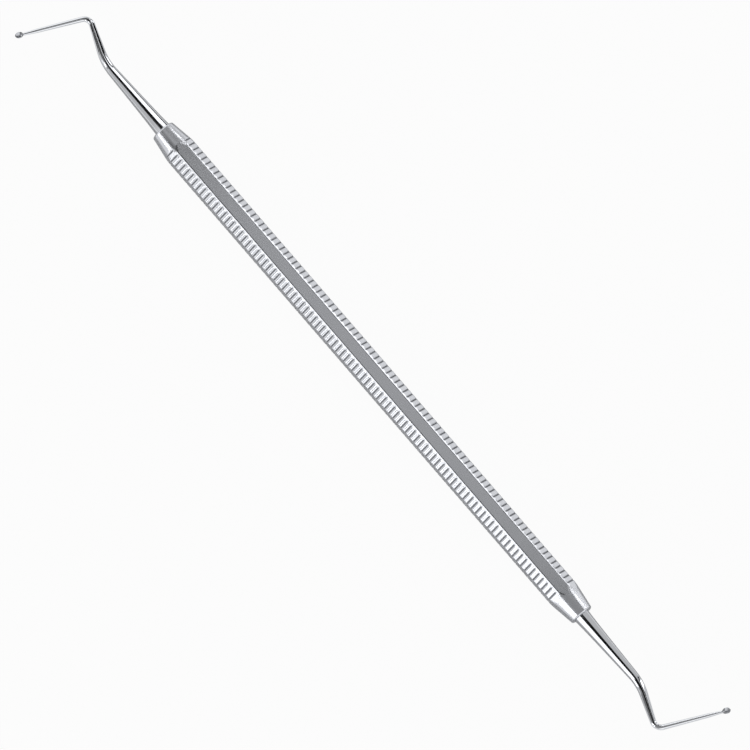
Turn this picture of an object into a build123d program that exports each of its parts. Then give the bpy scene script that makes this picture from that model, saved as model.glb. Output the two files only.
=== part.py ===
from build123d import *
from itertools import accumulate
import math
import os

# All sizes are in millimetres. X runs along the handle and Z points up.
# The instrument lies on one smooth side of its handle, and that side is at Z = 0.

# Handle: one octagonal bar with a turned taper at each end
handle_length = 116.0
handle_width = 5.5
handle_edge_bevel = 0.21
handle_taper_length = 4.6
handle_end_diameter = 4.1
handle_end_bevel = 0.2

# Serrations: V grooves across every second side of the bar
serration_pitch = 1.13
serration_width = 0.42
serration_depth = 0.14
serration_end_margin = 0.8

# Tang of each working end, in a blind socket of the handle
tang_length = 8.0
tang_clearance = 0.02

# Shank: straight, then a first bend to one side and a second bend back across the axis
shank_straight = 15.6
first_bend_angle = 23.5
first_bend_radius = 3.5
middle_straight = 6.15
second_bend_angle = 87.8
second_bend_radius = 1.8
terminal_straight = 8.45
shank_root_diameter = 2.8
second_bend_diameter = 1.02
terminal_diameter = 0.88
neck_length = 2.6
neck_diameter = 0.5

# Spoon: a shallow round bowl that faces up, its rim at the end of the neck
# The neck's root runs on under the bowl
spoon_diameter = 1.3
spoon_thickness = 0.42
spoon_rim_width = 0.08
spoon_bowl_depth = 0.24
spoon_face_height = 0.2
neck_root_length = 0.35
neck_root_diameter = 0.24

OCTAGON_SIDES = 8
SIDE_ANGLE = 360.0 / OCTAGON_SIDES
SERRATED_SIDES = (45.0, 135.0, 225.0, 315.0)

axis_height = handle_width / 2
plain_side_length = handle_length - 2 * handle_taper_length


def handle_bar():
    """The plain octagonal bar along X, with its long edges bevelled."""
    outline = RegularPolygon(handle_width / 2, OCTAGON_SIDES, major_radius=False, rotation=SIDE_ANGLE / 2)
    outline = chamfer(outline.vertices(), handle_edge_bevel)
    return extrude(Plane.YZ * outline, amount=handle_length / 2, both=True)


def taper_envelope():
    """The turned form, with a cone at each end, that the bar is cut back to."""
    end = handle_length / 2
    end_radius = handle_end_diameter / 2
    shoulder = plain_side_length / 2
    shoulder_radius = handle_width / 2 / math.cos(math.radians(SIDE_ANGLE / 2))
    half_profile = make_face(
        Polyline(
            (-end, 0),
            (-end, end_radius),
            (-shoulder, shoulder_radius),
            (shoulder, shoulder_radius),
            (end, end_radius),
            (end, 0),
            close=True,
        )
    )
    end_corners = [corner for corner in half_profile.vertices() if 0 < corner.Y < shoulder_radius]
    half_profile = chamfer(end_corners, handle_end_bevel)
    return revolve(half_profile, axis=Axis.X)


def serration_row():
    """One row of groove cutters, across the side of the bar that faces up."""
    count = 1 + int((plain_side_length - 2 * serration_end_margin) / serration_pitch)
    groove = Polygon(
        (0, -serration_depth),
        (serration_width, serration_depth),
        (-serration_width, serration_depth),
        align=None,
    )
    places = GridLocations(serration_pitch, 0, count, 1)
    grooves = Sketch() + [Pos(Y=handle_width / 2) * place * groove for place in places]
    return extrude(Plane.XZ * grooves, amount=handle_width / 2, both=True)


def socket(side):
    """The blind round hole for a tang, at the +X end for side 1 and the -X end for side -1."""
    hole = Cylinder(shank_root_diameter / 2 + tang_clearance, tang_length)
    return Pos(X=side * (handle_length - tang_length) / 2) * Rot(Y=90) * hole


def make_handle():
    """The serrated handle, with its tapered ends and its two sockets."""
    body = handle_bar() & taper_envelope()
    row = serration_row()
    body -= [Rot(X=angle) * row for angle in SERRATED_SIDES]
    body -= [socket(side) for side in (-1, 1)]
    return Pos(Z=axis_height) * body


def shank_stretches():
    """The right shank's centreline in order: straight, bend, middle, bend, terminal, neck, neck root."""
    face = handle_length / 2
    straight = Line((face, 0), (face + shank_straight, 0))
    first_bend = JernArc(straight @ 1, straight % 1, first_bend_radius, -first_bend_angle)
    middle = Line(first_bend @ 1, first_bend @ 1 + (first_bend % 1) * middle_straight)
    second_bend = JernArc(middle @ 1, middle % 1, second_bend_radius, second_bend_angle)
    along = second_bend % 1
    terminal = Line(second_bend @ 1, second_bend @ 1 + along * terminal_straight)
    neck = Line(terminal @ 1, terminal @ 1 + along * neck_length)
    neck_root = Line(neck @ 1, neck @ 1 + along * neck_root_length)
    return [straight, first_bend, middle, second_bend, terminal, neck, neck_root]


def shank_diameters(stretches):
    """The diameter at each end of those stretches, with one even taper up to the second bend's end."""
    main_stretches = stretches[:4]
    distances = list(accumulate((stretch.length for stretch in main_stretches), initial=0.0))
    fall = (shank_root_diameter - second_bend_diameter) / distances[-1]
    main_diameters = [shank_root_diameter - fall * distance for distance in distances]
    return main_diameters + [terminal_diameter, neck_diameter, neck_root_diameter]


def tapered_rod(stretch, start_diameter, end_diameter):
    """A round rod swept along one stretch, from one diameter to the other."""
    start = Plane(origin=stretch @ 0, x_dir=(0, 0, 1), z_dir=stretch % 0)
    end = Plane(origin=stretch @ 1, x_dir=(0, 0, 1), z_dir=stretch % 1)
    sections = [start * Circle(start_diameter / 2), end * Circle(end_diameter / 2)]
    return sweep(sections, path=stretch, multisection=True)


def make_shank():
    """The tapering round shank with its two bends and its neck."""
    stretches = shank_stretches()
    diameters = shank_diameters(stretches)
    return Part() + [tapered_rod(*rod) for rod in zip(stretches, diameters, diameters[1:])]


def cap_radius(width, depth):
    """The radius of the ball whose cap has this width across and this depth."""
    return (width**2 / 4 + depth**2) / (2 * depth)


def spoon_back():
    """The domed disc of the spoon, its face up at Z = 0 and centred on the Z axis."""
    radius = cap_radius(spoon_diameter, spoon_thickness)
    ball = Pos(Z=radius - spoon_thickness) * Sphere(radius)
    return split(ball, bisect_by=Plane.XY, keep=Keep.BOTTOM)


def spoon_bowl():
    """The ball that hollows the spoon's face inside its rim."""
    radius = cap_radius(spoon_diameter - 2 * spoon_rim_width, spoon_bowl_depth)
    return Pos(Z=radius - spoon_bowl_depth) * Sphere(radius)


def make_working_end():
    """The right working end: tang, shank and spoon in one piece of steel."""
    tang = Pos(X=(handle_length - tang_length) / 2) * Rot(Y=90) * Cylinder(shank_root_diameter / 2, tang_length)
    neck = shank_stretches()[5]
    centre = neck @ 1 + (neck % 1) * (spoon_diameter / 2)
    place = Pos(centre.X, centre.Y, spoon_face_height)
    body = tang + make_shank() + place * spoon_back() - place * spoon_bowl()
    return Pos(Z=axis_height) * body


os.makedirs("parts", exist_ok=True)
right_end = make_working_end()
pieces = {
    "handle": make_handle(),
    "working_end_right": right_end,
    "working_end_left": Rot(Z=180) * right_end,
}
for name, piece in pieces.items():
    piece.label = name
    export_step(piece, f"parts/{name}.step")
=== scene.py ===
"""Dental spoon excavator: a serrated octagonal steel handle with a polished working end at each end."""

import logging
import math
from dataclasses import dataclass, field
from enum import Enum
from itertools import product

import bmesh
import bpy
from mathutils import Matrix, Vector

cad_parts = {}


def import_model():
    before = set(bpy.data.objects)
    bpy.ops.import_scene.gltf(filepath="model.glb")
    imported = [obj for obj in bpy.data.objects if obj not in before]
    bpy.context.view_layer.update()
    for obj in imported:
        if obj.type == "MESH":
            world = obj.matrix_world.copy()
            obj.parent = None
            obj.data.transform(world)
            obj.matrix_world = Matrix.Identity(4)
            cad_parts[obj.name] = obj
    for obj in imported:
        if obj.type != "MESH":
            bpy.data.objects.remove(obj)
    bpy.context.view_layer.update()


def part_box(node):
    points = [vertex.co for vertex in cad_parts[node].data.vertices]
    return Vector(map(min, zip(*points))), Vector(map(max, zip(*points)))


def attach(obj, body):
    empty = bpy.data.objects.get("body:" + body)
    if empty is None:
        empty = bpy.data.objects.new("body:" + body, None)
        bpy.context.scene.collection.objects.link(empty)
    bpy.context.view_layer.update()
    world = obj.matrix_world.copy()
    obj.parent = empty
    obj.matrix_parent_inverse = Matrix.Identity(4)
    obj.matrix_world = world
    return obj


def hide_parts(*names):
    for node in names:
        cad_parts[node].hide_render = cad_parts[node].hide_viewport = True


LOG = logging.getLogger("spoon_excavator")
MM = 0.001
UP = Vector((0.0, 0.0, 1.0))
BOTH_WAYS = (-1.0, 1.0)

# Points that lie closer together than this are one point
SMALLEST_GAP = 0.0005 * MM

# An edge that turns further than the first is shaded as a sharp one, and so is a cone's seam past the second
SHARP_ANGLE = math.radians(32.0)
SEAM_ANGLE = math.radians(3.0)

# Nearly all values of a noise texture lie between these two
NOISE_SPAN = (0.3, 0.7)


def linear_colour(hex_colour: str) -> tuple[float, float, float, float]:
    """Turn an sRGB hex colour into linear values.

    Args:
        hex_colour: Six hex digits after a hash sign.

    Returns:
        Red, green, blue and an alpha of one.
    """
    digits = hex_colour.lstrip("#")
    channels = [int(digits[start:start + 2], 16) / 255.0 for start in (0, 2, 4)]
    linear = [c / 12.92 if c <= 0.04045 else ((c + 0.055) / 1.055) ** 2.4 for c in channels]
    return (linear[0], linear[1], linear[2], 1.0)


def add_node(
    tree: bpy.types.NodeTree, kind: str, inputs: dict | None = None, **settings: object
) -> bpy.types.Node:
    """Add a node, set it and link it.

    Args:
        tree: The node tree it goes into.
        kind: The node's type name.
        inputs: Input name or number to a value, or to the output socket that feeds it.
        settings: The node's own properties.

    Returns:
        The new node.
    """
    node = tree.nodes.new(kind)
    for name, value in settings.items():
        setattr(node, name, value)
    for key, value in (inputs or {}).items():
        if isinstance(value, bpy.types.NodeSocket):
            tree.links.new(value, node.inputs[key])
        else:
            node.inputs[key].default_value = value
    return node


def smooth_step(low: float, high: float, value: float) -> float:
    """Ease from 0 at low to 1 at high."""
    share = min(1.0, max(0.0, (value - low) / (high - low)))
    return share * share * (3.0 - 2.0 * share)


class Side(Enum):
    """The two ends of the handle, by the turn that puts the working end there."""

    RIGHT = 0.0
    LEFT = math.pi


@dataclass(frozen=True)
class SteelFinish:
    """What the instrument's finishes share: bare steel with fine marks along X and slow changes of gloss."""

    name: str
    colour: str
    roughness: float
    roughness_change: float
    mark_spacing: float
    mark_length: float
    mark_depth: float
    mark_detail: float
    cloud_size: float
    cloud_detail: float = 2.0

    def colour_and_roughness(
        self, tree: bpy.types.NodeTree, clouded: bpy.types.NodeSocket
    ) -> tuple[object, bpy.types.NodeSocket]:
        """The metal's one colour, and the clouded roughness as it comes."""
        return linear_colour(self.colour), clouded

    def material(self) -> bpy.types.Material:
        """Make the material, with its marks as bump and its clouds as roughness.

        Returns:
            The material.
        """
        material = bpy.data.materials.new(self.name)
        material.use_nodes = True
        tree = material.node_tree
        tree.nodes.clear()
        place = add_node(tree, "ShaderNodeTexCoord").outputs["Object"]
        stretch = (1.0 / self.mark_length, 1.0 / self.mark_spacing, 1.0 / self.mark_spacing)
        along = add_node(tree, "ShaderNodeMapping", {"Vector": place, "Scale": stretch})
        marks = add_node(
            tree,
            "ShaderNodeTexNoise",
            {"Vector": along.outputs["Vector"], "Scale": 1.0, "Detail": self.mark_detail},
        )
        clouds = add_node(
            tree,
            "ShaderNodeTexNoise",
            {"Vector": place, "Scale": 1.0 / self.cloud_size, "Detail": self.cloud_detail},
        )
        clouded = add_node(
            tree,
            "ShaderNodeMapRange",
            {
                "Value": clouds.outputs["Fac"],
                "From Min": NOISE_SPAN[0],
                "From Max": NOISE_SPAN[1],
                "To Min": self.roughness - self.roughness_change,
                "To Max": self.roughness + self.roughness_change,
            },
        )
        bump = add_node(
            tree,
            "ShaderNodeBump",
            {"Height": marks.outputs["Fac"], "Strength": 1.0, "Distance": self.mark_depth},
        )
        colour, roughness = self.colour_and_roughness(tree, clouded.outputs["Result"])
        shader = add_node(
            tree,
            "ShaderNodeBsdfPrincipled",
            {"Base Color": colour, "Metallic": 1.0, "Roughness": roughness, "Normal": bump.outputs["Normal"]},
        )
        add_node(tree, "ShaderNodeOutputMaterial", {"Surface": shader.outputs["BSDF"]})
        return material


@dataclass(frozen=True)
class SatinSteel(SteelFinish):
    """Stainless steel 1.4021, belt ground along the bar and satin polished.

    The eye gets a soft, even grey with very fine lines along the bar, and rougher metal down in the grooves,
    whose colour is darkened there as painted shade.
    """

    name: str = "satin_ground_stainless_steel"
    colour: str = "#D3D5DA"
    roughness: float = 0.19
    roughness_change: float = 0.03
    # A belt's lines lie closer together: they are drawn as coarse as they need to show from close by
    mark_spacing: float = 0.09 * MM
    mark_length: float = 6.0 * MM
    mark_depth: float = 0.0012 * MM
    mark_detail: float = 3.0
    cloud_size: float = 3.0 * MM
    # Painted shade: the darker colour the metal is given down in the grooves, standing in for the shade there
    groove_painted_shade_colour: str = "#6A6C70"
    groove_roughness: float = 0.5

    def colour_and_roughness(
        self, tree: bpy.types.NodeTree, clouded: bpy.types.NodeSocket
    ) -> tuple[object, bpy.types.NodeSocket]:
        """Paint shade into the grooves by darkening the metal's colour there, and make the metal duller
        there.

        Args:
            tree: The material's node tree.
            clouded: The roughness of the bar's sides.

        Returns:
            What gives the colour, and what gives the roughness.
        """
        groove = add_node(tree, "ShaderNodeAttribute", attribute_name="groove").outputs["Fac"]
        # The groove depth darkens the colour towards the painted shade colour, and raises the roughness
        colour = add_node(
            tree,
            "ShaderNodeMix",
            {"Factor": groove, "A": linear_colour(self.colour), "B": linear_colour(self.groove_painted_shade_colour)},
            data_type="RGBA",
        )
        roughness = add_node(
            tree,
            "ShaderNodeMapRange",
            {"Value": groove, "To Min": clouded, "To Max": self.groove_roughness},
        )
        return colour.outputs["Result"], roughness.outputs["Result"]


@dataclass(frozen=True)
class PolishedSteel(SteelFinish):
    """Hardened stainless steel, buffed to a mirror.

    The eye gets sharp bands of light and dark along the shank, broken a little by hairline wheel marks.
    """

    name: str = "mirror_polished_stainless_steel"
    colour: str = "#D3D5D9"
    roughness: float = 0.07
    roughness_change: float = 0.02
    # Real hairlines are finer: these too are drawn as coarse as they need to show from close by
    mark_spacing: float = 0.05 * MM
    mark_length: float = 2.0 * MM
    mark_depth: float = 0.0004 * MM
    mark_detail: float = 2.0
    cloud_size: float = 1.2 * MM


@dataclass(frozen=True)
class GroundSteel(PolishedSteel):
    """The same steel where the spoon was cut with a fine stone and only lightly buffed.

    The eye gets a soft grey cup with no sharp mirror lines in it, a tone darker than the shank.
    """

    name: str = "fine_ground_stainless_steel"
    colour: str = "#B4B6BA"
    roughness: float = 0.3
    mark_length: float = 0.5 * MM
    mark_depth: float = 0.0008 * MM
    cloud_size: float = 0.6 * MM


def finished_object(bm: bmesh.types.BMesh, name: str, material: bpy.types.Material) -> bpy.types.Object:
    """Turn a closed bmesh into a smooth-shaded object at the origin.

    Args:
        bm: The mesh, in metres, which is freed.
        name: The object's name.
        material: Its finish.

    Returns:
        The object, linked into the scene.
    """
    bmesh.ops.remove_doubles(bm, verts=bm.verts, dist=SMALLEST_GAP)
    bmesh.ops.recalc_face_normals(bm, faces=bm.faces)
    for face in bm.faces:
        face.smooth = True
    for edge in bm.edges:
        if edge.is_manifold and edge.calc_face_angle() > SHARP_ANGLE:
            edge.smooth = False
    mesh = bpy.data.meshes.new(name)
    bm.to_mesh(mesh)
    bm.free()
    mesh.materials.append(material)
    piece = bpy.data.objects.new(name, mesh)
    bpy.context.scene.collection.objects.link(piece)
    weighted = piece.modifiers.new("flat_sides_stay_flat", "WEIGHTED_NORMAL")
    weighted.keep_sharp = True
    return piece


def extruded_ring(
    bm: bmesh.types.BMesh, ring: list[bmesh.types.BMEdge]
) -> tuple[list[bmesh.types.BMEdge], list[bmesh.types.BMVert]]:
    """Extrude a ring of edges in place.

    Args:
        bm: The mesh.
        ring: The ring's edges.

    Returns:
        The new ring's edges and its vertices.
    """
    grown = bmesh.ops.extrude_edge_only(bm, edges=ring)["geom"]
    edges = [part for part in grown if isinstance(part, bmesh.types.BMEdge)]
    verts = [part for part in grown if isinstance(part, bmesh.types.BMVert)]
    fresh = set(verts)
    return [edge for edge in edges if all(vert in fresh for vert in edge.verts)], verts


@dataclass
class Handle:
    """The octagonal bar: smooth and serrated sides by turns, a turned cone and a blind socket at each end."""

    node: str = "handle"
    broader: float = 1.03
    left_taper: float = 5.5 * MM
    right_taper: float = 5.7 * MM
    end_diameter: float = 4.32 * MM
    end_rounding: float = 0.3 * MM
    edge_setback: float = 0.12 * MM
    # Two narrow flats, by their reach down the serrated side and their lean in degrees, ease each long edge
    relief_widths: tuple[float, ...] = (0.45 * MM, 0.16 * MM)
    relief_angles: tuple[float, ...] = (38.0, 30.0)
    # How far from a plain side's edge the grooves begin, and how far off they are whole
    fade_from: float = 0.1 * MM
    fade_to: float = 0.58 * MM
    first_groove: float = -53.55 * MM
    groove_count: int = 94
    serration_pitch: float = 1.136 * MM
    serration_width: float = 0.42 * MM
    serration_depth: float = 0.14 * MM
    serration_floor: float = 0.05 * MM
    land_edge_softness: float = 0.025 * MM
    socket_diameter: float = 2.84 * MM
    socket_depth: float = 8.0 * MM
    socket_offset: float = 0.12 * MM
    side_count: int = 8
    edge_segments: int = 4
    side_cuts: int = 9
    seam_width: float = 0.002 * MM
    rounding_steps: int = 5
    # Taken from the frame and from the sizes above
    half_length: float = field(init=False)
    apothem: float = field(init=False)
    axis_height: float = field(init=False)
    corner_radius: float = field(init=False)
    half_side: float = field(init=False)
    grooves: list[float] = field(init=False)

    def __post_init__(self) -> None:
        """Take the bar's length, width and place from the frame."""
        low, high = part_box(self.node)
        self.half_length = (high[0] - low[0]) / 2.0
        self.apothem = (high[2] - low[2]) / 2.0
        self.axis_height = (high[2] + low[2]) / 2.0
        self.corner_radius = self.apothem / math.cos(math.pi / self.side_count)
        self.half_side = self.apothem * math.tan(math.pi / self.side_count)
        places = range(self.groove_count)
        self.grooves = [self.first_groove + self.serration_pitch * place for place in places]

    def envelope_radius(self, x: float) -> float:
        """Find the turned radius at a place along the bar, with the end's edge rounded over.

        Args:
            x: The place along the bar.

        Returns:
            The radius there, which is the octagon's corner radius between the cones.
        """
        taper = self.right_taper if x > 0.0 else self.left_taper
        to_end = self.half_length - abs(x)
        if to_end >= taper:
            return self.corner_radius
        end_radius = self.end_diameter / 2.0
        cone = end_radius + (self.corner_radius - end_radius) * to_end / taper
        if to_end >= self.end_rounding:
            return cone
        short = self.end_rounding - to_end
        return cone - self.end_rounding + math.sqrt(max(0.0, self.end_rounding ** 2 - short ** 2))

    def groove_depth(self, x: float) -> float:
        """Find how deep the serrations are at a place along the bar.

        Args:
            x: The place along the bar.

        Returns:
            The depth, which is 0 on the lands between the grooves.
        """
        nearest = min(self.groove_count - 1, max(0, round((x - self.grooves[0]) / self.serration_pitch)))
        off_centre = abs(x - self.grooves[nearest])
        half_floor = self.serration_floor / 2.0
        half_width = self.serration_width / 2.0
        share = (half_width - off_centre) / (half_width - half_floor)
        return self.serration_depth * min(1.0, max(0.0, share))

    def stations(self, radii: list[float]) -> list[float]:
        """Find the places along the bar, from left to right, that need a ring.

        Args:
            radii: How far from the axis the points of a ring are, each distance once.

        Returns:
            Their places along X.
        """
        half_width = self.serration_width / 2.0
        half_floor = self.serration_floor / 2.0
        soft = self.land_edge_softness
        steps = (half_width + soft, half_width - soft, half_floor)
        across = [-step for step in steps] + list(reversed(steps))
        places = [groove + step for groove in self.grooves for step in across]
        left = [-place for place in self.taper_stations(self.left_taper, radii)]
        right = self.taper_stations(self.right_taper, radii)
        kept = sorted(left + right)
        clear = 2.0 * self.seam_width
        kept += [place for place in places if min(abs(place - ring) for ring in kept) > clear]
        return sorted(kept)

    def taper_stations(self, taper: float, radii: list[float]) -> list[float]:
        """Find the rings of one end, as distances from the bar's middle.

        Args:
            taper: The cone's length.
            radii: How far from the axis the points of a ring are.

        Returns:
            A ring where the cone meets each row of points, and those of the rounded end.
        """
        end_radius = self.end_diameter / 2.0
        fall = (self.corner_radius - end_radius) / taper
        rings = [self.half_length - (radius - end_radius) / fall for radius in radii]
        turns = [math.pi / 2.0 * step / self.rounding_steps for step in range(self.rounding_steps + 1)]
        rings += [self.half_length - self.end_rounding * (1.0 - math.sin(turn)) for turn in turns]
        return rings

    def first_ring(self, bm: bmesh.types.BMesh) -> list[bmesh.types.BMEdge]:
        """Make the octagon with rounded corners, square to X.

        Args:
            bm: The empty mesh.

        Returns:
            The octagon's edges.
        """
        made = bmesh.ops.create_circle(bm, cap_ends=True, segments=self.side_count, radius=self.corner_radius)
        bmesh.ops.bevel(
            bm,
            geom=made["verts"],
            offset=self.edge_setback,
            offset_type="OFFSET",
            segments=self.edge_segments,
            profile=0.5,
            affect="VERTICES",
            material=-1,
        )
        bmesh.ops.delete(bm, geom=list(bm.faces), context="FACES_ONLY")
        sides = [edge for edge in bm.edges if edge.calc_length() > 2.0 * self.edge_setback]
        bmesh.ops.subdivide_edges(bm, edges=sides, cuts=self.side_cuts)
        half_side = Matrix.Rotation(math.pi / self.side_count, 4, "Z")
        upright = Matrix.Rotation(math.pi / 2.0, 4, "Y")
        bmesh.ops.transform(bm, matrix=upright @ half_side, verts=bm.verts)
        return list(bm.edges)

    def press_serrations(self, bm: bmesh.types.BMesh) -> None:
        """Push the four serrated sides in where a groove crosses them, and note how deep on each vertex.

        The grooves run out towards the plain top and bottom sides, where the roll that pressed them
        didn't bite.

        Args:
            bm: The bar, round the X axis.
        """
        # Each vertex's depth is kept as the mask by which the satin finish paints shade into the grooves and
        # makes them rougher
        layer = bm.verts.layers.float.new("groove")
        for across, upright in product(BOTH_WAYS, BOTH_WAYS):
            normal = Vector((0.0, across, upright)).normalized()
            towards_plain = Vector((0.0, -across, upright)).normalized()
            for vert in bm.verts:
                to_corner = self.half_side - vert.co.dot(towards_plain)
                bite = smooth_step(self.fade_from, self.fade_to, to_corner)
                depth = self.groove_depth(vert.co.x) * bite
                proud = vert.co.dot(normal) - (self.apothem - depth)
                if depth > 0.0 and proud > 0.0:
                    vert.co -= normal * proud
                    vert[layer] = min(1.0, proud / self.serration_depth)

    def ease_edges(self, bm: bmesh.types.BMesh) -> None:
        """Take down the edges beside the plain top and bottom sides, mostly on the serrated side.

        Args:
            bm: The bar's first ring, round the X axis.
        """
        for across, upright in product(BOTH_WAYS, BOTH_WAYS):
            corner = Vector((0.0, across * self.half_side, upright * self.apothem))
            down_side = Vector((0.0, across, -upright)).normalized()
            for width, angle in zip(self.relief_widths, self.relief_angles):
                turn = math.radians(angle)
                normal = Vector((0.0, across * math.sin(turn), upright * math.cos(turn)))
                limit = (corner + down_side * width).dot(normal)
                for vert in bm.verts:
                    proud = vert.co.dot(normal) - limit
                    if proud > 0.0:
                        vert.co -= normal * proud

    def turn_tapers(self, bm: bmesh.types.BMesh) -> None:
        """Bring the bar's ends down to the turned cones, with a crisp seam where each side runs out.

        Args:
            bm: The bar, round the X axis.
        """
        seam = []
        for vert in bm.verts:
            limit = self.envelope_radius(vert.co.x)
            radius = math.hypot(vert.co.y, vert.co.z)
            if limit < self.corner_radius and abs(radius - limit) <= self.seam_width:
                seam.append(vert)
            if radius > limit:
                vert.co.y *= limit / radius
                vert.co.z *= limit / radius
        bmesh.ops.connect_verts(bm, verts=seam)
        on_seam = set(seam)
        for edge in bm.edges:
            if edge.is_manifold and on_seam.issuperset(edge.verts) and edge.calc_face_angle() > SEAM_ANGLE:
                edge.smooth = False

    def close_end(self, bm: bmesh.types.BMesh, ring: list[bmesh.types.BMEdge], side: float) -> None:
        """Give an end its flat face and its blind socket.

        Args:
            bm: The mesh.
            ring: The edges round the end face.
            side: 1 for the +X end and -1 for the -X end.
        """
        narrower = self.socket_diameter / 2.0 / self.envelope_radius(side * self.half_length)
        edges, verts = extruded_ring(bm, ring)
        bmesh.ops.scale(bm, vec=(1.0, narrower / self.broader, narrower), verts=verts)
        bmesh.ops.translate(bm, vec=(0.0, -side * self.socket_offset, 0.0), verts=verts)
        edges, verts = extruded_ring(bm, edges)
        bmesh.ops.translate(bm, vec=(-side * self.socket_depth, 0.0, 0.0), verts=verts)
        bmesh.ops.edgeloop_fill(bm, edges=edges)

    def build(self, material: bpy.types.Material) -> bpy.types.Object:
        """Extrude the bar ring by ring, then press, turn and close it.

        Args:
            material: The bar's finish.

        Returns:
            The finished object.
        """
        bm = bmesh.new()
        ring = self.first_ring(bm)
        self.ease_edges(bm)
        steps = {round(math.hypot(vert.co.y, vert.co.z) / self.seam_width) for vert in bm.verts}
        stations = self.stations([step * self.seam_width for step in steps])
        bmesh.ops.translate(bm, vec=(stations[0], 0.0, 0.0), verts=bm.verts)
        start_ring = ring
        for before, after in zip(stations, stations[1:]):
            ring, verts = extruded_ring(bm, ring)
            bmesh.ops.translate(bm, vec=(after - before, 0.0, 0.0), verts=verts)
        self.press_serrations(bm)
        self.turn_tapers(bm)
        bmesh.ops.scale(bm, vec=(1.0, self.broader, 1.0), verts=bm.verts)
        self.close_end(bm, start_ring, -1.0)
        self.close_end(bm, ring, 1.0)
        bmesh.ops.translate(bm, vec=UP * self.axis_height, verts=bm.verts)
        return finished_object(bm, "serrated_handle", material)


@dataclass
class Spoon:
    """The shallow oval bowl at the end of the neck, with its face up."""

    length: float = 1.5 * MM
    width: float = 1.22 * MM
    thickness: float = 0.42 * MM
    rim_width: float = 0.16 * MM
    bowl_depth: float = 0.24 * MM
    bowl_shift: float = 0.07 * MM
    face_height: float = 0.2 * MM
    root_run_out: float = 0.6 * MM
    # How far before and past the rim the neck turns into the spoon, and its crown comes down to the face
    neck_blend: float = 0.35 * MM
    neck_blend_past: float = 0.1 * MM
    crown_before: float = 0.1 * MM
    crown_past: float = 0.2 * MM
    # A high power keeps both forms whole where the neck's root and the spoon's back run together
    join_power: int = 4
    ring_count: int = 32

    @staticmethod
    def cap_radius(width: float, depth: float) -> float:
        """The radius of the ball whose cap has this width across and this depth."""
        return (width * width / 4.0 + depth * depth) / (2.0 * depth)

    def joined(self, first: float, second: float) -> float:
        """The smooth outline round two half widths or heights."""
        return (first ** self.join_power + second ** self.join_power) ** (1.0 / self.join_power)

    def section_point(self, along: float, turn: float, neck_radius: float) -> tuple[float, float]:
        """Find where the spoon's outer skin lies.

        Args:
            along: Distance from the spoon's centre, away from the neck.
            turn: Angle round the shank's line, from the level side.
            neck_radius: Radius of the neck at the rim.

        Returns:
            The distance across, and the height over the shank's line.
        """
        rim = -self.length / 2.0
        level, rise = math.cos(turn), math.sin(turn)
        share_along = along * self.width / self.length
        half_width = math.sqrt(max(0.0, self.width * self.width / 4.0 - share_along * share_along))
        fade = 1.0 - smooth_step(rim, rim + self.root_run_out, along)
        wide = self.joined(half_width, neck_radius * fade)
        ball = self.cap_radius(self.width, self.thickness)
        dome = math.sqrt(max(0.0, ball * ball - share_along * share_along)) - (ball - self.thickness)
        back = self.joined(max(0.0, dome), (self.face_height + neck_radius) * fade)
        level_out = smooth_step(rim - self.crown_before, rim + self.crown_past, along)
        crown = (neck_radius - self.face_height) * (1.0 - level_out)
        height = self.face_height + (crown * rise if rise > 0.0 else back * rise)
        share = smooth_step(rim - self.neck_blend, rim + self.neck_blend_past, along)
        across = level * (neck_radius + share * (wide - neck_radius))
        return across, neck_radius * rise + share * (height - neck_radius * rise)

    def bowl_floor(self, along: float, across: float) -> float | None:
        """Find the height of the hollow at a place on the spoon's face.

        Args:
            along: Distance from the spoon's centre, away from the neck.
            across: Distance from the spoon's centre, sideways.

        Returns:
            The height over the shank's line, or None outside the hollow.
        """
        hollow_width = self.width - 2.0 * self.rim_width
        from_centre = math.hypot((along + self.bowl_shift) * self.width / self.length, across)
        if from_centre >= hollow_width / 2.0:
            return None
        ball = self.cap_radius(hollow_width, self.bowl_depth)
        return self.face_height + ball - self.bowl_depth - math.sqrt(ball * ball - from_centre * from_centre)


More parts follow.
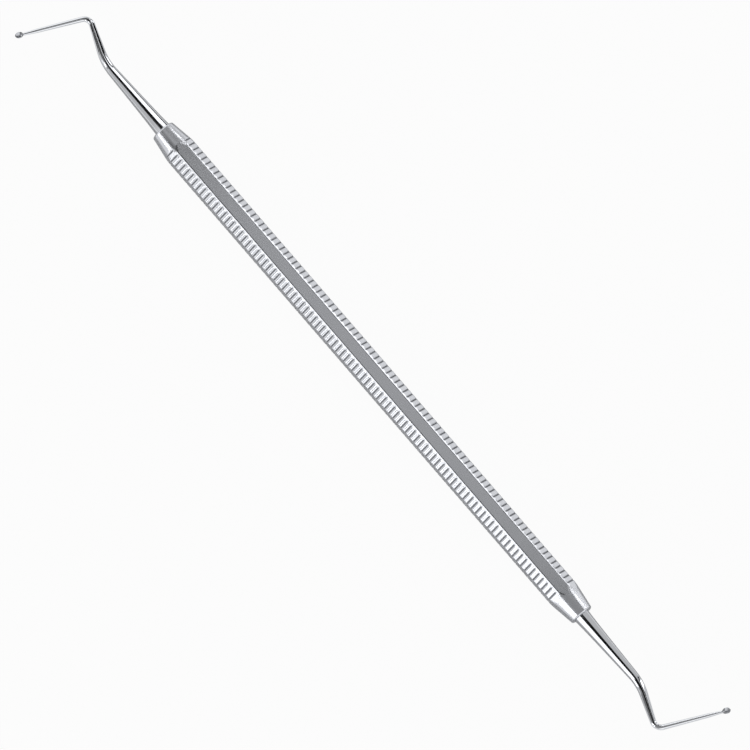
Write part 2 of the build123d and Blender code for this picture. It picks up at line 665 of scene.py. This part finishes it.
@dataclass
class WorkingEnd:
    """One working end in one piece of steel: tang, tapering shank with two bends, neck and spoon."""

    side: Side
    handle: Handle
    tang_length: float = 8.0 * MM
    straight: float = 13.9 * MM
    first_bend_angle: float = math.radians(22.0)
    first_bend_radius: float = 11.0 * MM
    middle: float = 5.26 * MM
    second_bend_angle: float = math.radians(87.05)
    second_bend_radius: float = 1.5 * MM
    terminal: float = 8.37 * MM
    neck: float = 2.6 * MM
    tang_diameter: float = 2.8 * MM
    root_diameter: float = 2.85 * MM
    seat_flare: float = 0.2 * MM
    seat_flare_length: float = 2.5 * MM
    seat_gap: float = 0.01 * MM
    second_bend_diameter: float = 1.0 * MM
    terminal_diameter: float = 0.8 * MM
    neck_diameter: float = 0.5 * MM
    # Rings in each stretch, in order
    straight_rings: int = 20
    first_bend_rings: int = 12
    middle_rings: int = 5
    second_bend_rings: int = 28
    terminal_rings: int = 8
    neck_rings: int = 8
    segments: int = 64
    # The spoon's finish is the second one on the piece
    spoon_finish_slot: int = 1

    def steps(self) -> list[tuple[float, float, float]]:
        """Lay out the route from the tang's end to the spoon's rim.

        Returns:
            Steps of length, turn and new diameter.
        """
        bend_1 = self.first_bend_radius * self.first_bend_angle
        bend_2 = self.second_bend_radius * self.second_bend_angle
        tapering_length = self.straight + bend_1 + self.middle + bend_2
        fall = (self.root_diameter - self.second_bend_diameter) / tapering_length
        stretches = [
            (self.straight, 0.0, self.straight_rings),
            (bend_1, -self.first_bend_angle, self.first_bend_rings),
            (self.middle, 0.0, self.middle_rings),
            (bend_2, self.second_bend_angle, self.second_bend_rings),
        ]
        route = [
            (self.tang_length + self.seat_gap, 0.0, self.tang_diameter),
            (0.0, 0.0, self.root_diameter + self.seat_flare),
        ]
        diameter = self.root_diameter
        travelled = 0.0
        for length, turn, count in stretches:
            for _ in range(count):
                travelled += length / count
                diameter -= fall * length / count
                flare = self.seat_flare * math.exp(-travelled / self.seat_flare_length)
                route.append((length / count, turn / count, diameter + flare))
        thin_stretches = [
            (self.terminal, self.terminal_diameter, self.terminal_rings),
            (self.neck, self.neck_diameter, self.neck_rings),
        ]
        for length, finish, count in thin_stretches:
            change = (finish - diameter) / count
            for _ in range(count):
                diameter += change
                route.append((length / count, 0.0, diameter))
        return route

    def first_ring(self, bm: bmesh.types.BMesh, x: float) -> list[bmesh.types.BMEdge]:
        """Make the tang's end disc, square to X.

        Args:
            bm: The empty mesh.
            x: The disc's place along the handle.

        Returns:
            The edges round the disc.
        """
        bmesh.ops.create_circle(bm, cap_ends=True, segments=self.segments, radius=self.tang_diameter / 2.0)
        upright = Matrix.Rotation(math.pi / 2.0, 4, "Y")
        place = Matrix.Translation((x, -self.handle.socket_offset, 0.0))
        bmesh.ops.transform(bm, matrix=place @ upright, verts=bm.verts)
        return list(bm.edges)

    def build(
        self, spoon: Spoon, polished: bpy.types.Material, ground: bpy.types.Material
    ) -> bpy.types.Object:
        """Extrude the working end ring by ring, shape its spoon and turn it to its side.

        Args:
            spoon: The bowl's sizes.
            polished: The finish of the tang and shank.
            ground: The finish of the spoon.

        Returns:
            The finished object.
        """
        bm = bmesh.new()
        centre = Vector((self.handle.half_length - self.tang_length, -self.handle.socket_offset, 0.0))
        ring = self.first_ring(bm, centre.x)
        heading = 0.0
        diameter = self.tang_diameter
        for length, turn, new_diameter in self.steps():
            ring, verts = extruded_ring(bm, ring)
            chord = length if turn == 0.0 else 2.0 * length / abs(turn) * math.sin(abs(turn) / 2.0)
            move = Vector((math.cos(heading + turn / 2.0), math.sin(heading + turn / 2.0), 0.0)) * chord
            bmesh.ops.rotate(bm, cent=centre, matrix=Matrix.Rotation(turn, 3, "Z"), verts=verts)
            bmesh.ops.translate(bm, vec=move, verts=verts)
            centre = centre + move
            heading += turn
            grow = new_diameter / diameter
            bmesh.ops.scale(bm, vec=(grow, grow, grow), space=Matrix.Translation(-centre), verts=verts)
            diameter = new_diameter
        along = Vector((math.cos(heading), math.sin(heading), 0.0))
        shank_faces = set(bm.faces)
        self.shape_spoon(bm, ring, centre, along, spoon)
        for face in bm.faces:
            if face not in shank_faces:
                face.material_index = self.spoon_finish_slot
        to_side = Matrix.Rotation(self.side.value, 3, "Z")
        bmesh.ops.rotate(bm, cent=(0.0, 0.0, 0.0), matrix=to_side, verts=bm.verts)
        bmesh.ops.translate(bm, vec=UP * self.handle.axis_height, verts=bm.verts)
        end = finished_object(bm, f"polished_working_end_{self.side.name.lower()}", polished)
        end.data.materials.append(ground)
        return end

    def shape_spoon(
        self,
        bm: bmesh.types.BMesh,
        ring: list[bmesh.types.BMEdge],
        rim: Vector,
        along: Vector,
        spoon: Spoon,
    ) -> None:
        """Carry the neck's last ring on through the spoon.

        Args:
            bm: The mesh.
            ring: The edges of the neck's last ring.
            rim: The centre of that ring, at the spoon's rim.
            along: The way the terminal shank points.
            spoon: The bowl's sizes.
        """
        sideways = UP.cross(along)
        radius = spoon.length / 2.0
        middle = rim + along * radius
        neck_radius = self.neck_diameter / 2.0
        turns = [math.pi * step / spoon.ring_count for step in range(1, spoon.ring_count + 1)]
        for place in [-radius * math.cos(turn) for turn in turns]:
            ring, verts = extruded_ring(bm, ring)
            for vert in verts:
                away = vert.co - rim
                turn = math.atan2(away.z, away.dot(sideways))
                across, height = spoon.section_point(place, turn, neck_radius)
                hollow = spoon.bowl_floor(place, across)
                if hollow is not None and math.sin(turn) > 0.0:
                    height = hollow
                vert.co = middle + along * place + sideways * across + UP * height
            rim = middle + along * place
        bmesh.ops.contextual_create(bm, geom=ring)


@dataclass
class Camera:
    """A nearly overhead camera, a long way off and turned so that the handle lies corner to corner.

    Angles are in degrees, and pixels count from the photograph's top left corner.
    """

    lean_along_handle: float = 8.3
    lean_across_handle: float = 11.4
    handle_slope: float = 49.136
    pixels_per_mm: float = 5.59
    image_size: float = 750.0
    object_pixel_x: float = 371.46
    object_pixel_y: float = 371.9
    distance: float = 5.0
    sensor: float = 36.0

    def build(self, centre: Vector) -> bpy.types.Object:
        """Place the camera so that the object's centre falls on its pixel of the photograph.

        Args:
            centre: The object's centre.

        Returns:
            The camera.
        """
        along = math.radians(self.lean_along_handle)
        across = math.radians(self.lean_across_handle)
        level = math.cos(along)
        back = Vector((math.sin(along), -math.sin(across) * level, math.cos(across) * level))
        handle_line = (Vector((1.0, 0.0, 0.0)) - back * back.x).normalized()
        far_side = back.cross(handle_line)
        slope = math.radians(self.handle_slope)
        right = handle_line * math.cos(slope) + far_side * math.sin(slope)
        up = back.cross(right)
        middle_pixel = (self.image_size - 1.0) / 2.0
        metres_per_pixel = MM / self.pixels_per_mm
        target = centre + right * ((middle_pixel - self.object_pixel_x) * metres_per_pixel)
        target -= up * ((middle_pixel - self.object_pixel_y) * metres_per_pixel)
        data = bpy.data.cameras.new("photo_camera")
        data.sensor_width = self.sensor
        data.lens = self.sensor * self.distance * self.pixels_per_mm / MM / self.image_size
        camera = bpy.data.objects.new("photo_camera", data)
        bpy.context.scene.collection.objects.link(camera)
        turned = Matrix((right, up, back)).transposed().to_4x4()
        camera.matrix_world = Matrix.Translation(target + back * self.distance) @ turned
        bpy.context.scene.camera = camera
        return camera


@dataclass(frozen=True)
class SoftBox:
    """One flat soft lamp of a ring round the handle's line, given by where polished metal shows it.

    Its reach along X and its distance are in millimetres, and its angles in degrees.
    """

    name: str
    x_from: float
    x_to: float
    angle_from: float
    angle_to: float
    level: float
    reach: float = 300.0

    def build(self) -> bpy.types.Object:
        """Place the lamp so that it spans its angles, which count from straight up towards -Y.

        Returns:
            The lamp, which the camera doesn't see.
        """
        middle = math.radians((self.angle_from + self.angle_to) / 2.0)
        spread = math.radians(self.angle_to - self.angle_from) / 2.0
        data = bpy.data.lights.new(self.name, "AREA")
        data.shape = "RECTANGLE"
        data.size = (self.x_to - self.x_from) * MM
        data.size_y = 2.0 * self.reach * math.tan(spread) * MM
        data.energy = self.level * math.pi * data.size * data.size_y
        lamp = bpy.data.objects.new(self.name, data)
        lamp.visible_camera = False
        bpy.context.scene.collection.objects.link(lamp)
        back = Vector((0.0, -math.sin(middle), math.cos(middle)))
        sideways = Vector((1.0, 0.0, 0.0))
        place = back * self.reach + sideways * ((self.x_from + self.x_to) / 2.0)
        turned = Matrix((sideways, back.cross(sideways), back)).transposed().to_4x4()
        lamp.matrix_world = Matrix.Translation(place * MM) @ turned
        return lamp


@dataclass
class Studio:
    """A plain white table under soft lamps, with a dim patch overhead where the camera looks through."""

    floor_size: float = 6.0
    floor_colour: str = "#FAFAFA"
    # How white the board glows: for the camera, for metal close to the object, where the glow is cut as
    # painted shade round it, and for metal well away from it
    camera_white: float = 0.95
    painted_shade_white: float = 0.05
    far_white: float = 0.92
    painted_shade_across: tuple[float, ...] = (8.0 * MM, 20.0 * MM)
    painted_shade_along: tuple[float, ...] = (71.0 * MM, 84.0 * MM)
    plain_light: float = 0.31
    # The sky that metal mirrors: how bright it is high up, low down, past the ends and straight beyond them
    high_sky: float = 0.45
    low_sky: float = 0.95
    end_sky: float = 1.8
    end_horizon: float = 0.3
    # Where one gives way to the next, by the share of the direction that points up, or along the handle
    low_from: tuple[float, ...] = (0.5, 0.2)
    end_from: tuple[float, ...] = (0.45, 0.75)
    horizon_from: tuple[float, ...] = (0.925, 0.96)
    # The dim patch: a band square to the handle and one square to the shanks' middle lengths, in degrees
    dim_sky: float = 0.015
    handle_line: tuple[float, ...] = (1.0, 0.0, 0.0)
    handle_dim: tuple[float, ...] = (-16.5, 1.5)
    middle_line: tuple[float, ...] = (0.9272, -0.3746, 0.0)
    middle_dim: tuple[float, ...] = (-18.5, -7.5)
    dim_edge: float = 2.0

    def floor_material(self) -> bpy.types.Material:
        """Make matt white board that glows: plain white for the camera and, away from the object, for the
        metal; close to the object its glow for the metal is cut, which paints shade round the object into the
        metal's reflections.

        Returns:
            The material.
        """
        material = bpy.data.materials.new("white_board_with_painted_shade")
        material.use_nodes = True
        tree = material.node_tree
        tree.nodes.clear()
        rays = add_node(tree, "ShaderNodeLightPath").outputs
        straight = add_node(
            tree,
            "ShaderNodeMath",
            {0: rays["Is Camera Ray"], 1: rays["Is Transmission Ray"]},
            operation="MAXIMUM",
        )
        seen = add_node(
            tree, "ShaderNodeMath", {0: straight.outputs[0], 1: self.camera_white}, operation="MULTIPLY"
        )
        place = add_node(tree, "ShaderNodeTexCoord").outputs["Object"]
        parts = add_node(tree, "ShaderNodeSeparateXYZ", {"Vector": place}).outputs
        clear = []
        # Painted shade: close to the object the board's glow for metal fades out by distance, so the metal
        # mirrors a darker board round it
        for part, (near, far) in ((parts["Y"], self.painted_shade_across), (parts["X"], self.painted_shade_along)):
            away = add_node(tree, "ShaderNodeMath", {0: part}, operation="ABSOLUTE")
            whiter = add_node(
                tree,
                "ShaderNodeMapRange",
                {
                    "Value": away.outputs[0],
                    "From Min": near,
                    "From Max": far,
                    "To Min": self.painted_shade_white,
                    "To Max": self.far_white,
                },
                interpolation_type="SMOOTHSTEP",
            )
            clear.append(whiter.outputs[0])
        metal_glow_past_painted_shade = add_node(tree, "ShaderNodeMath", {0: clear[0], 1: clear[1]}, operation="MAXIMUM")
        metal = add_node(
            tree,
            "ShaderNodeMath",
            {0: rays["Is Glossy Ray"], 1: metal_glow_past_painted_shade.outputs[0]},
            operation="MULTIPLY",
        )
        white = add_node(
            tree, "ShaderNodeMath", {0: seen.outputs[0], 1: metal.outputs[0]}, operation="MAXIMUM"
        )
        board = add_node(tree, "ShaderNodeBsdfDiffuse", {"Color": linear_colour(self.floor_colour)})
        glow = add_node(tree, "ShaderNodeEmission", {"Color": (1.0, 1.0, 1.0, 1.0), "Strength": 1.0})
        mixed = add_node(
            tree, "ShaderNodeMixShader", {0: white.outputs[0], 1: board.outputs[0], 2: glow.outputs[0]}
        )
        add_node(tree, "ShaderNodeOutputMaterial", {"Surface": mixed.outputs[0]})
        return material

    def build_floor(self) -> bpy.types.Object:
        """Make the white table top at the height that the handle lies on.

        Returns:
            The table top.
        """
        bm = bmesh.new()
        bmesh.ops.create_grid(bm, x_segments=1, y_segments=1, size=self.floor_size / 2.0)
        mesh = bpy.data.meshes.new("table_top")
        bm.to_mesh(mesh)
        bm.free()
        mesh.materials.append(self.floor_material())
        floor = bpy.data.objects.new("table_top", mesh)
        bpy.context.scene.collection.objects.link(floor)
        return floor

    def mirrored_sky(self, tree: bpy.types.NodeTree) -> bpy.types.NodeSocket:
        """Work out how bright metal sees the sky in each direction.

        Args:
            tree: The world's node tree.

        Returns:
            The brightness.
        """
        way = add_node(tree, "ShaderNodeTexCoord").outputs["Generated"]
        parts = add_node(tree, "ShaderNodeSeparateXYZ", {"Vector": way}).outputs
        over_handle = self.dim_band(tree, way, self.handle_line, self.handle_dim)
        over_middle = self.dim_band(tree, way, self.middle_line, self.middle_dim)
        dim = add_node(tree, "ShaderNodeMath", {0: over_handle, 1: over_middle}, operation="MAXIMUM")
        plain = add_node(
            tree,
            "ShaderNodeMapRange",
            {
                "Value": parts["Z"],
                "From Min": self.low_from[0],
                "From Max": self.low_from[1],
                "To Min": self.high_sky,
                "To Max": self.low_sky,
            },
            interpolation_type="SMOOTHSTEP",
        )
        sideways = add_node(tree, "ShaderNodeMath", {0: parts["X"]}, operation="ABSOLUTE").outputs[0]
        ends = add_node(
            tree,
            "ShaderNodeMapRange",
            {
                "Value": sideways,
                "From Min": self.end_from[0],
                "From Max": self.end_from[1],
                "To Max": self.end_sky,
            },
            interpolation_type="SMOOTHSTEP",
        )
        bright = add_node(
            tree, "ShaderNodeMath", {0: plain.outputs[0], 1: ends.outputs[0]}, operation="MAXIMUM"
        )
        straight_on = add_node(
            tree,
            "ShaderNodeMapRange",
            {"Value": sideways, "From Min": self.horizon_from[0], "From Max": self.horizon_from[1]},
            interpolation_type="SMOOTHSTEP",
        )
        above = add_node(
            tree,
            "ShaderNodeMix",
            {"Factor": straight_on.outputs[0], "A": bright.outputs[0], "B": self.end_horizon},
            data_type="FLOAT",
        )
        shown = add_node(
            tree,
            "ShaderNodeMix",
            {"Factor": dim.outputs[0], "A": above.outputs["Result"], "B": self.dim_sky},
            data_type="FLOAT",
        )
        return shown.outputs["Result"]

    def build_sky(self) -> None:
        """Light the scene evenly from all round, and give metal a grey sky with its dim patch."""
        world = bpy.data.worlds.new("studio")
        bpy.context.scene.world = world
        world.use_nodes = True
        tree = world.node_tree
        tree.nodes.clear()
        rays = add_node(tree, "ShaderNodeLightPath").outputs
        for_metal = add_node(
            tree,
            "ShaderNodeMix",
            {"Factor": rays["Is Glossy Ray"], "A": self.plain_light, "B": self.mirrored_sky(tree)},
            data_type="FLOAT",
        )
        for_all = add_node(
            tree,
            "ShaderNodeMix",
            {"Factor": rays["Is Camera Ray"], "A": for_metal.outputs["Result"], "B": 1.0},
            data_type="FLOAT",
        )
        glow = add_node(tree, "ShaderNodeBackground", {"Strength": for_all.outputs["Result"]})
        add_node(tree, "ShaderNodeOutputWorld", {"Surface": glow.outputs[0]})

    def dim_band(
        self,
        tree: bpy.types.NodeTree,
        way: bpy.types.NodeSocket,
        line: tuple[float, ...],
        leans: tuple[float, ...],
    ) -> bpy.types.NodeSocket:
        """Mark the part of the sky that a straight length of the object mirrors to the camera.

        Args:
            tree: The world's node tree.
            way: The direction that is looked in.
            line: The way that length of the object runs.
            leans: Where the band starts and ends, in degrees from square to that line.

        Returns:
            1 in the band and 0 outside it.
        """
        across = add_node(tree, "ShaderNodeVectorMath", {0: way, 1: line}, operation="DOT_PRODUCT")
        lean = add_node(tree, "ShaderNodeMath", {0: across.outputs["Value"]}, operation="ARCSINE")
        edge = math.radians(self.dim_edge)
        start, finish = (math.radians(angle) for angle in leans)
        sides = []
        for low, high in ((start - edge, start + edge), (finish + edge, finish - edge)):
            side = add_node(
                tree,
                "ShaderNodeMapRange",
                {"Value": lean.outputs[0], "From Min": low, "From Max": high},
                interpolation_type="SMOOTHSTEP",
            )
            sides.append(side.outputs[0])
        both = add_node(tree, "ShaderNodeMath", {0: sides[0], 1: sides[1]}, operation="MULTIPLY")
        return both.outputs[0]

    def lamps(self) -> list[SoftBox]:
        """The lamps, in millimetres along X from the handle's middle and degrees round it."""
        return [
            SoftBox("lamp_over_handle", -102.0, 20.0, -22.0, -1.0, 0.45),
            SoftBox("lamp_before_handle", -200.0, -35.0, 50.0, 90.0, 1.95, reach=800.0),
            SoftBox("lamp_behind_handle", -225.0, -78.0, -90.0, -60.0, 2.2, reach=1000.0),
            SoftBox("left_strip", -199.0, -163.0, -70.0, -13.0, 1.8, reach=450.0),
            SoftBox("left_grey", -135.0, -99.0, 33.0, 90.0, 0.64, reach=200.0),
            SoftBox("right_strip", 28.0, 68.0, 31.0, 90.0, 1.8),
            SoftBox("right_grey", 22.0, 70.0, -90.0, -13.0, 0.64),
            SoftBox("right_taper_front", 88.0, 114.0, 40.0, 88.0, 2.6),
            SoftBox("right_taper_back", 88.0, 114.0, -90.0, -41.0, 3.1),
            SoftBox("left_taper_front", -206.0, -182.0, 46.0, 75.0, 2.4),
            SoftBox("left_taper_back", -206.0, -182.0, -66.0, -50.0, 3.0),
            SoftBox("left_taper_middle", -214.0, -176.0, -12.0, 45.0, 0.2),
            SoftBox("left_middle_grey", -290.0, -212.0, 42.0, 90.0, 0.64),
            SoftBox("right_middle_grey", 116.0, 150.0, -90.0, -48.0, 0.7),
        ]

    def build(self) -> None:
        """Make the table, the light from all round and the lamps."""
        self.build_floor()
        self.build_sky()
        for lamp in self.lamps():
            lamp.build()


def main() -> None:
    """Dress the frame's three pieces, light them and place the camera."""
    logging.basicConfig(level=logging.INFO)
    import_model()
    bpy.context.scene.view_settings.view_transform = "Standard"

    satin = SatinSteel().material()
    polished = PolishedSteel().material()
    ground = GroundSteel().material()
    handle = Handle()
    bar = handle.build(satin)
    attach(bar, "root")
    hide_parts(handle.node)
    LOG.info("%s stands for %s, with %d grooves a side", bar.name, handle.node, handle.groove_count)

    for side in Side:
        end = WorkingEnd(side, handle).build(Spoon(), polished, ground)
        node = f"working_end_{side.name.lower()}"
        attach(end, "root")
        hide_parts(node)
        LOG.info("%s stands for %s", end.name, node)

    Studio().build()
    Camera().build(Vector((0.0, 0.0, handle.axis_height)))


if __name__ == "__main__":
    main()
